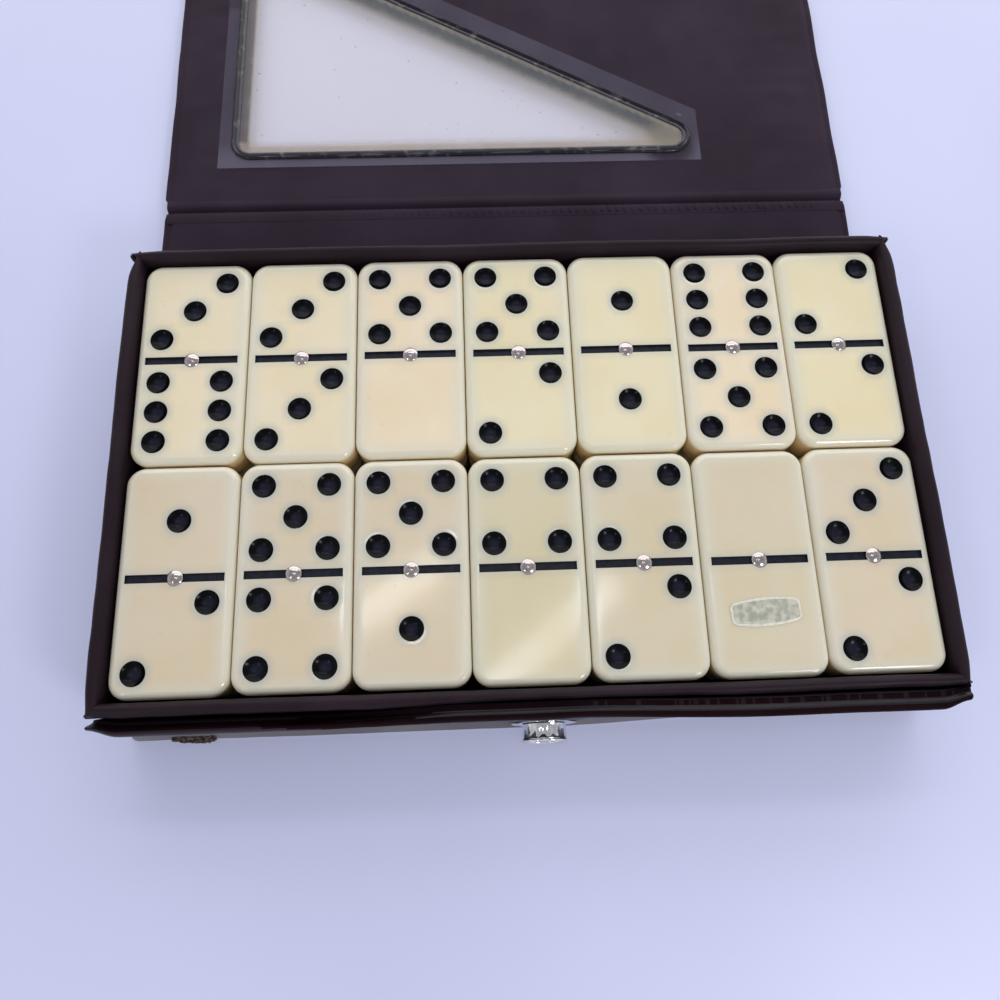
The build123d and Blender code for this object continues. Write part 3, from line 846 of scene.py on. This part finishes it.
def set_front_panel():
    """The outer front panel: a flat weld band, a rolled ridge and a padded face."""
    top = PANEL_TOP
    rolled = [(0, 1.5), (0.1, 0.75), (0.35, 0.5), (0.8, 0.5), (1.2, 0.55), (1.45, 0.4), (1.75, 0.1),
              (2.1, 0), (2.5, 0.15), (2.85, 0.6), (3.1, 1.4), (PANEL_DEPTH, 2.6)]
    outline = [(0, BASE_SKIN), (0, 8), (0, 15)] + [(out, top - down) for out, down in rolled]
    outline += [(PANEL_DEPTH, z) for z in (16, 12, 8, 4, BASE_SKIN)]
    panel = swept("front_panel_vinyl", outline, spaced(-PANEL_HALF_X, PANEL_HALF_X, 0.5))

    def left_part(x):
        return 1 - ramp(x, -46, -14)

    def layer(x, out, up):
        if x > 8 and 0.5 < out < 1.3 and up > top - 3 and wander(x * 0.9, 0, 61) > 0.12:
            return 3
        # The ridge and the inner edge take the lighter vinyl as painted highlight
        highlight_place = abs(out - 1.65) < 0.4 * ramp(x, -50, -10) or out < 0.5
        return (2 if highlight_place else 1) if up > top - 2.4 * ramp(x, -60, -25) else 0

    def soften(x, out, up):
        high = ramp(up, 14, 22)
        left = left_part(x)
        shift, stretch = 0.87 - 0.45 * ramp(x, 10, 45), 0.16 + 0.23 * ramp(x, 10, 50)
        out += (1 - left) * high * (stretch * out - shift)
        up -= high * left * (0.3 + 3.0 * (1 - ramp(out, 0.6, 2.4)))
        near_end = ramp(abs(x), 86, 93)
        up -= 0.7 * near_end * high
        out = out * (1 - 0.3 * near_end) - 0.5 * near_end
        out += 0.14 * high * wander(x * 0.05, 0, 11) + 0.2 * left * high
        ticks = ramp(x, 10, 40) * ramp(up, top - 1.2, top - 0.7) * (1 - ramp(out, 1.1, 1.5))
        up += 0.12 * ticks * max(0, sin(2 * pi * x / 1.6) - 0.35 + 0.4 * wander(x * 0.5, 0, 2))
        up += 0.18 * high * wander(x * 0.06, 1, 12)
        from_snap = hypot(x - SNAP_X, up - SNAP_HEIGHT) if out > 2.8 else FAR
        out += 0.35 * (1 - ramp(from_snap, 6, 11))
        return x, PANEL_INNER_Y - out, up

    paint_faces(panel, layer)
    sculpt(panel, soften)
    close_seams(panel)
    smooth(panel, 40)
    seat = lathe("snap_seat", [(0, 0), (7.4, 0), (7.8, -0.15), (8.0, -0.5), (8.1, -1.6), (0, -1.6)], 48)
    place_at_snap(seat)
    seat.data.materials.append(outer_vinyl)
    for material in (outer_vinyl, band_vinyl, ridge_highlight_vinyl, tick_vinyl):
        panel.data.materials.append(material)
    panel = one_piece("front_panel_vinyl", seat, panel)
    finished(panel, "tray", "vinyl", over="front_panel_cover")

    low, high = PANEL_INNER_Y - PANEL_DEPTH + COVER, PANEL_INNER_Y - COVER
    levels = (BASE_SKIN, 14, top - 1.2)
    section = [(low, BASE_SKIN)] + [(high, z) for z in levels] + [(low, z) for z in levels[:0:-1]]
    card = swept("front_panel_card", section, spaced(4 - PANEL_HALF_X, PANEL_HALF_X - 4, 6))
    sculpt(card, lambda x, y, z: (x, y, z - 3.0 * left_part(x) * ramp(z, 14, 21)))
    smooth(card, 30)
    finished(card, "tray", "card", grey_card, over="front_panel_board")


def place_at_snap(piece):
    """Sets a turned piece on the panel's face, its axis along the leaning snap."""
    put(piece, (SNAP_X, FLANGE_Y + SNAP_SUNK, SNAP_HEIGHT), (90 - SNAP_TILT, 0, 0))


def set_snap():
    """The male half: a slightly bent washer and a fluted hollow barrel with a rolled mouth."""
    washer = lathe("snap_washer", [(1.7, 0.04), (6.4, 0.04), (7.1, 0.12), (7.2, 0.3), (7.05, 0.38),
                                   (6.2, 0.34), (5.4, 0.4), (1.7, 0.4)], 64)
    sculpt(washer, lambda x, y, z: (x, y, z + 0.5 * ramp(hypot(x, y), 5.4, 7.2)
                                    * max(0, wander(x * 0.22, y * 0.22, 3))))
    place_at_snap(washer)
    finished(washer, "tray", "chrome", chrome, over="snap_flange")

    side = [(1.6, 0.4), (4.55, 0.4), (4.8, 0.55), (4.72, 0.8), (4.66, 1.1), (4.64, 1.8), (4.66, 2.5),
            (4.7, 3.0), (4.76, 3.3)]
    mouth = arc((4.62, 3.95), 0.38, -55, 195, 12)
    inside = [(4.05, 3.2), (4.02, 2.0), (3.9, 1.15), (3.6, 1.0), (1.6, 1.0)]
    barrel = lathe("snap_stud", side + mouth + inside, 80)

    def flute(x, y, z):
        around = atan2(y, x)
        waist = ramp(z, 0.6, 1.0) * (1 - ramp(z, 3.0, 3.4)) * ramp(hypot(x, y), 4.2, 4.6)
        grow = 1 + waist * (0.09 * cos(13 * around) + 0.04 * cos(5 * around + 1)) / 4.6
        return x * grow, y * grow, z

    sculpt(barrel, flute)
    smooth(barrel, 45)
    place_at_snap(barrel)
    finished(barrel, "tray", "chrome", chrome, over="snap_barrel")
    for name in ("snap_socket", "snap_cap"):
        dress_node(name, chrome)
    # The rivet in the gap is painted dark, as shade
    dress_node("snap_rivet", shade_dark_rivet)
    dress_node("snap_spring", spring_steel)


def set_torn_edge():
    """A frayed bit of torn backing that pokes out under the front at the left."""
    middle_x, front_y = -78.0, -60.0
    outline = []
    for x in spaced(-5.2, 5.2, 0.5):
        reach = 0.55 + 0.4 * ramp(x, -3, 4) + 0.5 * wander(x * 1.7, 0, 21) + 0.6 * wander(x * 4.1, 0, 22)
        outline.append((x, -max(0.12, reach * (1 - (abs(x) / 5.4) ** 4))))
    outline += [(x, 0.7) for x, y in reversed(outline)]
    tuft = outline_ring("torn_edge", [(x + middle_x, y + front_y, 0.25) for x, y in outline])
    edit(tuft)
    bpy.ops.mesh.edge_face_add()
    bpy.ops.mesh.quads_convert_to_tris()
    bpy.ops.mesh.subdivide(number_cuts=2)
    close()
    sculpt(tuft, lambda x, y, z: (x, y, z + 0.25 * (1 + wander(x * 2.2, y * 2.2, 23))))
    press(tuft, "SOLIDIFY", thickness=0.35 * MM, offset=1)
    smooth(tuft, 50)
    finished(tuft, "tray", "vinyl", torn_backing)


# Spine, lid and flap, made flat with the fold at y = 0 and the inner face up, then stood in place

CASE_HALF_X = 94.75
FACE = 1.2
CORE = 0.6
FOLD_MARGIN = 1.5
FLAP_REST = 9.0822
SOCKET_Y = 13.965
SOCKET_HOLE = 6.05

folds = {joint["name"]: Vector(joint["pos_m"]) for joint in frame["joints"] if "fold" in joint["name"]}
back_fold, lid_fold, flap_fold = (folds[f"case_{name}_fold"] for name in ("back", "lid", "flap"))


def lie(start, end):
    """The lean of the panel between two folds, in radians."""
    return atan2(end.z - start.z, end.y - start.y)


SPINE = (back_fold, lie(back_fold, lid_fold))
LID = (lid_fold, lie(lid_fold, flap_fold))
FLAP = (flap_fold, radians(FLAP_REST))


def stand(piece, place):
    """Sets a flat-made piece on its fold, leaning as the panel does."""
    fold, lean = place
    put(piece, fold / MM, (degrees(lean), 0, 0))


def rim_relief(from_edge):
    """Height lost near a free edge: a rounded edge, a flat rim and a pressed weld line."""
    rounded = -0.32 * (1 - ramp(from_edge, 0, 0.45))
    pressed = -0.3 * ramp(from_edge, 0.7, 1.35) * (1 - ramp(from_edge, 1.6, 2.8))
    flat = -0.12 * (1 - ramp(from_edge, 1.4, 2.6))
    return rounded + pressed + flat


def panel_skins(title, low, high, free_far_end, place, opening=None, ripples=0.0):
    """Inner and outer skins of one panel, welded at the free edges."""
    rows = (0.2, 0.45, 0.8, 1.1, 1.35, 1.6, 1.9, 2.3, 2.8)
    for layer, face, seed in (("inner", 1, len(title)), ("outer", -1, len(title) + 20)):
        sheet = sheet_blank(f"{title}_{layer}_vinyl", CASE_HALF_X, low, high, 1.5, rows)

        def relief(x, y, z):
            x, y = rounded_corner(x, y, CASE_HALF_X, low, high, 2.0)
            side = CASE_HALF_X - abs(x)
            far = high - y if free_far_end else FAR
            fold = min(y - low, FAR if free_far_end else high - y)
            level_fold = title == "lid" and y < high / 2
            z = rim_relief(min(side, far)) - (0 if level_fold else 0.28 * (1 - ramp(fold, 0, 0.9)))
            field = ramp(min(side, far, fold), 1.6, 6)
            z += 0.1 * field * wander(x * 0.035, y * 0.05, seed)
            creases = ramp(abs(x), 62, 84) * field * ripples
            z += creases * 0.22 * wander(x * 0.045, y * 0.22, seed + 1)
            z += 0.03 * field * wander(x * 0.12, y * 0.3, seed + 2)
            near_tray = (1 - ramp(y, 4, 11)) if title == "spine" else 0
            z += 0.07 * near_tray * field * wander(x * 0.5, y * 0.9, seed + 6)
            x += 0.28 * ramp(abs(x), 80, 94) * wander(y * 0.07, 0, seed + (3 if x > 0 else 4))
            return x, y, face * (FACE + z)

        def meet_inner_skin(x, y, z):
            """Raises the outer skin's rim round the board."""
            edge = min(CASE_HALF_X - abs(x), y - low, high - y)
            return x, y, CORE - 0.02 if z > -0.95 and edge < 1.4 else z

        sculpt(sheet, relief)
        if layer == "outer":
            edit(sheet)
            bpy.ops.mesh.flip_normals()
            close()
        press(sheet, "SOLIDIFY", thickness=CORE * MM, offset=-1, use_even_offset=False)
        if layer == "outer":
            sculpt(sheet, meet_inner_skin)
        if opening:
            cut_through(sheet, opening)
        stand(sheet, place)
        smooth(sheet, 40)
        vinyl = inner_vinyl if layer == "inner" else outer_vinyl
        finished(sheet, title, "vinyl", vinyl, over=f"{title}_{layer}_skin")


WINDOW_LEFT = -75.15
WINDOW_RIGHT = 59.55
WINDOW_LOW = 17.5
WINDOW_TOP = 94.4
WINDOW_CORNER = 3.2
MARGIN = {"side": 5.9, "fold": 5.0, "slope": 8.5, "end": 5.3, "top": 6.5}
SLOPE = (WINDOW_TOP - WINDOW_LOW) / (WINDOW_RIGHT - WINDOW_LEFT)


def window_outline(grow, steps=8):
    """Points round the window's rounded triangle, grown outward, counter-clockwise."""
    slope_turn = degrees(atan2(1, SLOPE))
    corner_x, corner_y = WINDOW_LEFT + WINDOW_CORNER, WINDOW_LOW + WINDOW_CORNER
    tip_x = WINDOW_RIGHT - WINDOW_CORNER * (1 + hypot(1, SLOPE)) / SLOPE
    top_y = WINDOW_TOP - WINDOW_CORNER * (SLOPE + hypot(1, SLOPE))
    corners = ((corner_x, corner_y, -180, -90), (tip_x, corner_y, -90, slope_turn),
               (corner_x, top_y, slope_turn, 180))
    return [Vector(point) for x, y, *turns in corners
            for point in arc((x, y), WINDOW_CORNER + grow, *turns, steps)]


def evenly(points, step):
    """The same closed line with points about a step apart."""
    line = []
    for a, b in zip(points, points[1:] + points[:1]):
        count = max(1, round((b - a).length / step))
        line += [a.lerp(b, i / count) for i in range(count)]
    return line


TIP_X = WINDOW_RIGHT - WINDOW_CORNER / sin(atan2(SLOPE, 1) / 2)


def window_depths(x, y):
    """How far inside the window a place is, from its left, fold and sloping sides and from the tip."""
    from_slope = (WINDOW_LOW + (WINDOW_RIGHT - x) * SLOPE - y) / hypot(1, SLOPE)
    round_y = WINDOW_LOW + WINDOW_CORNER
    from_tip = WINDOW_CORNER - hypot(x - TIP_X, y - round_y) if x > TIP_X else FAR
    round_x = WINDOW_LEFT + WINDOW_CORNER
    at_corner = x < round_x and y < round_y
    from_corner = WINDOW_CORNER - hypot(x - round_x, y - round_y) if at_corner else FAR
    return min(x - WINDOW_LEFT, from_corner), min(y - WINDOW_LOW, from_corner), from_slope, from_tip


def film_residue_and_shadow(x, y):
    """The film's colour and cover: clear, hazed where it lies on vinyl, with glue residue along the weld
    and painted shadow along its left and sloping sides.
    """
    depths = window_depths(x, y)
    left, low, slope = depths[:3]
    if min(depths) < -1:
        near_tip = 1 - ramp(hypot(x - TIP_X, y - WINDOW_LOW), 5, 9)
        low_margin = 0.075 * (1 - ramp(y, WINDOW_LOW - 2, WINDOW_LOW + 5))
        cover = (0.06 + low_margin + 0.02 * wander(x * 0.1, y * 0.1, 51)) * (1 - 0.85 * near_tip)
        return (0.38, 0.355, 0.49, cover)
    cover = 0.18
    colour = Vector((0.90, 0.82, 0.71)) * cover
    patchy = 1 + 0.4 * wander(x * 0.35, y * 0.35, 52) + 0.25 * wander(x * 1.1, y * 1.1, 53)
    from_tip = hypot(x - TIP_X, y - WINDOW_LOW - WINDOW_CORNER)
    # Painted shadow bands along the left and sloping sides, where the lid's edge shades the table under
    # the film; tan glue residue along the low side and near the tip; a thin glue line along the slope
    # whose light tone is partly a painted highlight
    residue_and_shadow_bands = ((left, 1.2, 3.2, (0.12, 0.105, 0.115), 0.9), (slope, 1.8, 6.4, (0.085, 0.095, 0.11), 0.9),
            (low, 0.4, 3.6, (0.42, 0.35, 0.29), 0.7), (from_tip, 2, 8, (0.24, 0.215, 0.17), 0.8),
            (slope, 0.5, 1.2, (0.33, 0.28, 0.23), 0.7))
    for depth, near, far, dark, strength in residue_and_shadow_bands:
        amount = min(1, strength * patchy) * (1 - ramp(depth, near, far))
        thick = 0.9 * amount
        colour = colour * (1 - amount) + Vector(dark) * thick
        cover = cover * (1 - amount) + thick
    return (*(colour / cover), cover)


def cut_through(sheet, outline):
    """Cuts an outline's opening through a skin."""
    reach = 3
    tool = outline_ring("opening_tool", [(x, y, -reach) for x, y in outline])
    edit(tool)
    bpy.ops.mesh.edge_face_add()
    bpy.ops.mesh.extrude_region_move(TRANSFORM_OT_translate={"value": (0, 0, 2 * reach * MM)})
    bpy.ops.mesh.select_all(action="SELECT")
    bpy.ops.mesh.normals_make_consistent(inside=False)
    close()
    press(sheet, "BOOLEAN", operation="DIFFERENCE", object=tool, solver="EXACT")
    throw_away(tool)


def set_window():
    """The clear sheet with clipped tips, and the double weld bead that holds it."""
    left, right = WINDOW_LEFT - MARGIN["side"], TIP_X + WINDOW_CORNER + MARGIN["end"]
    low, high = WINDOW_LOW - MARGIN["fold"], WINDOW_TOP + MARGIN["top"]
    lift = MARGIN["slope"] * sqrt(1 + SLOPE**2)
    corner_y = WINDOW_LOW + (WINDOW_RIGHT - right) * SLOPE + lift
    corner_x = WINDOW_RIGHT - (high - lift - WINDOW_LOW) / SLOPE
    corners = ((left, low), (right, low), (right, corner_y), (corner_x, high), (left, high))
    sheet = outline_ring("window_film", evenly([Vector(p) for p in corners], 3.0))
    edit(sheet)
    bpy.ops.mesh.edge_face_add()
    squares = 1.3
    inner_lines = (spaced(start, end, squares)[1:-1] for start, end in ((left, right), (low, high)))
    cut_grid(sheet, lambda at, normal: True, *inner_lines)
    close()
    residue_and_shadow_values = [channel for vertex in sheet.data.vertices for channel in film_residue_and_shadow(*(vertex.co.xy / MM))]
    sheet.data.attributes.new("film_residue_and_shadow", "FLOAT_COLOR", "POINT").data.foreach_set("color", residue_and_shadow_values)
    sculpt(sheet, lambda x, y, z: (x, y, FACE + 0.14 + 0.06 * wander(x * 0.05, y * 0.06, 31)))
    press(sheet, "SOLIDIFY", thickness=0.2 * MM, offset=1)
    stand(sheet, LID)
    smooth(sheet, 40)
    finished(sheet, "lid", "clear_vinyl", clear_vinyl, over="window_sheet")

    # The double bead's section, out from the opening and up from the sheet
    section = [(0.2, 0), (0.3, 0.32), (0.65, 0.5), (1.0, 0.34), (1.25, 0.2), (1.5, 0.36), (1.9, 0.62),
               (2.3, 0.4), (2.5, 0)]
    bead = outline_ring("window_weld", evenly(window_outline(0), 1.6))
    shape = outline_ring("bead_section", [(-out, up) for out, up in section])
    for line in (bead, shape):
        take_up(line)
        bpy.ops.object.convert(target="CURVE")
    bead.data.dimensions = "3D"
    bead.data.twist_mode = "Z_UP"
    bead.data.bevel_mode = "OBJECT"
    bead.data.bevel_object = shape
    take_up(bead)
    bpy.ops.object.convert(target="MESH")
    throw_away(shape)
    bottom = FACE + 0.28
    sculpt(bead, lambda x, y, z: (x, y, z * (1 + 0.15 * wander(x * 0.3, y * 0.3, 33)) + bottom))
    close_seams(bead)
    paint_faces(bead, lambda x, y, z: min(window_depths(x, y)) > -1.25)
    stand(bead, LID)
    smooth(bead, 60)
    finished(bead, "lid", "vinyl", outer_bead, inner_bead, over="window_bead")


def fold_band(name, place, outline, node_name, pressed=None):
    """A band of vinyl along a fold between two panels."""
    half = CASE_HALF_X - 0.7
    band = swept(name, outline, spaced(-half, half, 1.2))
    if pressed:
        band = one_piece(name, pressed, band)
    stand(band, place)
    smooth(band, 45)
    band.data.materials.append(inner_vinyl)
    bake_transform(band)
    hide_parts(node_name)


def weld_ticks():
    """The row of short pressed marks along the spine's side of the lid fold."""
    pitch, first, last, row = 2.2, -84.0, 86.0, -3.0
    tick = slab((1.25, 2.5, 0.5), (first, row, 1.32), "weld_ticks")
    press(tick, "SUBSURF", levels=2, render_levels=2)
    press(tick, "ARRAY", count=round((last - first) / pitch) + 1, use_relative_offset=False,
          use_constant_offset=True, constant_offset_displace=(pitch * MM, 0, 0))

    def uneven(x, y, z):
        which = round((x - first) / pitch)
        lean = 0.55 * wander(which * 0.61, 0, 43)
        stretch = 1 + 0.35 * wander(which * 0.83, 0, 46)
        sink = 0.02 + 0.2 * ramp(-x, -10, 60) + 0.14 * wander(which * 0.53, 0, 44)
        x += lean * (y - row) + 0.3 * wander(which * 0.71, 0, 47)
        return x, (y - row) * stretch + row + 0.3 * wander(which * 0.4, 0, 45), z - sink

    sculpt(tick, uneven)
    return tick


def set_case_panels():
    spine_length = (lid_fold - back_fold).length / MM
    lid_length = (flap_fold - lid_fold).length / MM
    flap_length = 22.0
    panel_skins("spine", FOLD_MARGIN, spine_length - FOLD_MARGIN, False, SPINE, ripples=0.3)
    panel_skins("lid", FOLD_MARGIN, lid_length - FOLD_MARGIN, False, LID, window_outline(-0.12), 1.0)
    socket_hole = arc((SNAP_X, SOCKET_Y), SOCKET_HOLE, 0, 360, 48)[:-1]
    panel_skins("flap", FOLD_MARGIN, flap_length, True, FLAP, socket_hole, 0.2)
    for name in ("base_board", "spine_board", "lid_board", "flap_board"):
        dress_node(name, grey_card)
    # Welded over the spine's edge, then a groove, then the lid's raised near edge
    seam = [(-4.9, 0.9), (-4.7, 1.24), (-4.3, 1.3), (-3.2, 1.28), (-2.2, 1.3), (-1.85, 1.2), (-1.6, 0.5),
            (-1.3, 0.2), (-0.8, 0.25), (-0.45, 0.75), (0, 1.12), (0.5, 1.24), (1.0, 1.22), (1.5, 1.17),
            (1.9, 1.1), (2.4, 0.9), (2.4, -0.3), (1.2, -0.62), (0, -0.8), (-1.2, -0.62), (-2.6, -0.3)]
    fold_band("lid_seam", (lid_fold, SPINE[1]), seam, "lid_fold", weld_ticks())
    plain = [(-2.4, 0.45), (-1.5, 0.6), (-0.7, 0.3), (0, 0.15), (0.7, 0.3), (1.5, 0.6), (2.4, 0.45),
             (2.4, -0.3), (1.2, -0.6), (0, -0.75), (-1.2, -0.6), (-2.4, -0.3)]
    fold_band("flap_seam", (flap_fold, LID[1]), plain, "flap_fold")
    at_tray = [(-1.6, 0.3), (-0.8, 0.35), (0, 0.3), (0.8, 0.45), (1.5, 0.55), (2.4, 0.4), (2.4, -0.3),
               (1.2, -0.62), (0, -0.8), (-1.0, -0.6), (-1.6, -0.3)]
    fold_band("back_seam", (back_fold, 0.0), at_tray, "back_fold")


# The stage, the light and the camera


def set_stage():
    bpy.ops.mesh.primitive_plane_add(size=6, location=(0, 0, 0))
    table = called("pale_table")
    laminate = mottled("pale_laminate", ((0.64, 0.665, 0.9), (0.68, 0.71, 0.96)), 0.42, (9, 3),
                       (0.3, 0.7), IOR=1.45)
    bumped(laminate, (pattern(laminate, 300, 3), 0.02 * MM))
    table.data.materials.append(laminate)


def lamp(name, place, target, size, power):
    """A soft rectangular lamp, places in metres."""
    bpy.ops.object.light_add(type="AREA", location=place)
    light = called(name)
    light.data.shape = "RECTANGLE"
    light.data.size, light.data.size_y = size
    light.data.energy = power
    light.rotation_euler = (Vector(target) - Vector(place)).to_track_quat("-Z", "Y").to_euler()
    return light


def set_light():
    """A room with pale walls and a dimmer ceiling, a wide window behind, narrow lamps above."""
    world = bpy.data.worlds.new("studio")
    bpy.context.scene.world = world
    world.use_nodes = True
    way = node(world, "TexCoord")
    parts = node(world, "SeparateXYZ")
    link(way.outputs["Generated"], parts.inputs["Vector"])
    room = graded(world, parts.outputs["Z"], 0.12, 0.75, (0.77, 0.78, 0.82), (0.42, 0.43, 0.465))
    link(room, world.node_tree.nodes["Background"].inputs["Color"])
    lamp("window_light", (0.08, 0.8, 0.34), (0, 0.05, 0), (1.8, 0.6), 4.8)
    lamp("back_lamp", (0.05, 0.66, 0.8), (0, 0.05, 0), (0.9, 0.12), 1.4)
    lamp("front_right_lamp", (0.28, -0.30, 0.34), (0.10, -0.12, 0), (0.12, 0.12), 0.6)
    lamp("front_left_lamp", (-0.45, -0.38, 0.60), (0, -0.02, 0), (0.1, 0.1), 0.3)
    strip_width, strip_power = 0.05, 0.27
    for name, start, end in (("left_strip", (-0.245, 0.085), (-0.085, 0.19)),
                             ("middle_strip", (-0.03, -0.06), (0.225, 0.145))):
        along = Vector(end) - Vector(start)
        middle = (Vector(start) + Vector(end)) / 2
        strip = lamp(name, (*middle, 1.19), (*middle, 0), (along.length, strip_width), strip_power)
        strip.rotation_euler = (0, 0, atan2(along.y, along.x))


CAMERA_PLACE = (-9.65, -53.48, 184.23)
CAMERA_TURNS = (75.05, 5.32, 3.44)
FOCAL_PIXELS = 751
PICTURE_PIXELS = 1000


def set_camera():
    """The camera where the photograph was taken from."""
    pitch, yaw, roll = (radians(turn) for turn in CAMERA_TURNS)
    turn = Matrix.Rotation(-yaw, 3, "Z") @ Matrix.Rotation(pi / 2 - pitch, 3, "X")
    bpy.ops.object.camera_add(location=[c * MM for c in CAMERA_PLACE])
    camera = called("camera")
    camera.rotation_euler = (turn @ Matrix.Rotation(roll, 3, "Z")).to_euler()
    camera.data.sensor_width = 36
    camera.data.lens = 36 * FOCAL_PIXELS / PICTURE_PIXELS
    camera.data.clip_start = 0.01
    bpy.context.scene.camera = camera


set_dominoes()
set_foil_label()
set_tray()
set_front_panel()
set_snap()
set_torn_edge()
set_case_panels()
set_window()
set_stage()
set_light()
set_camera()
bpy.context.scene.view_settings.view_transform = "Standard"
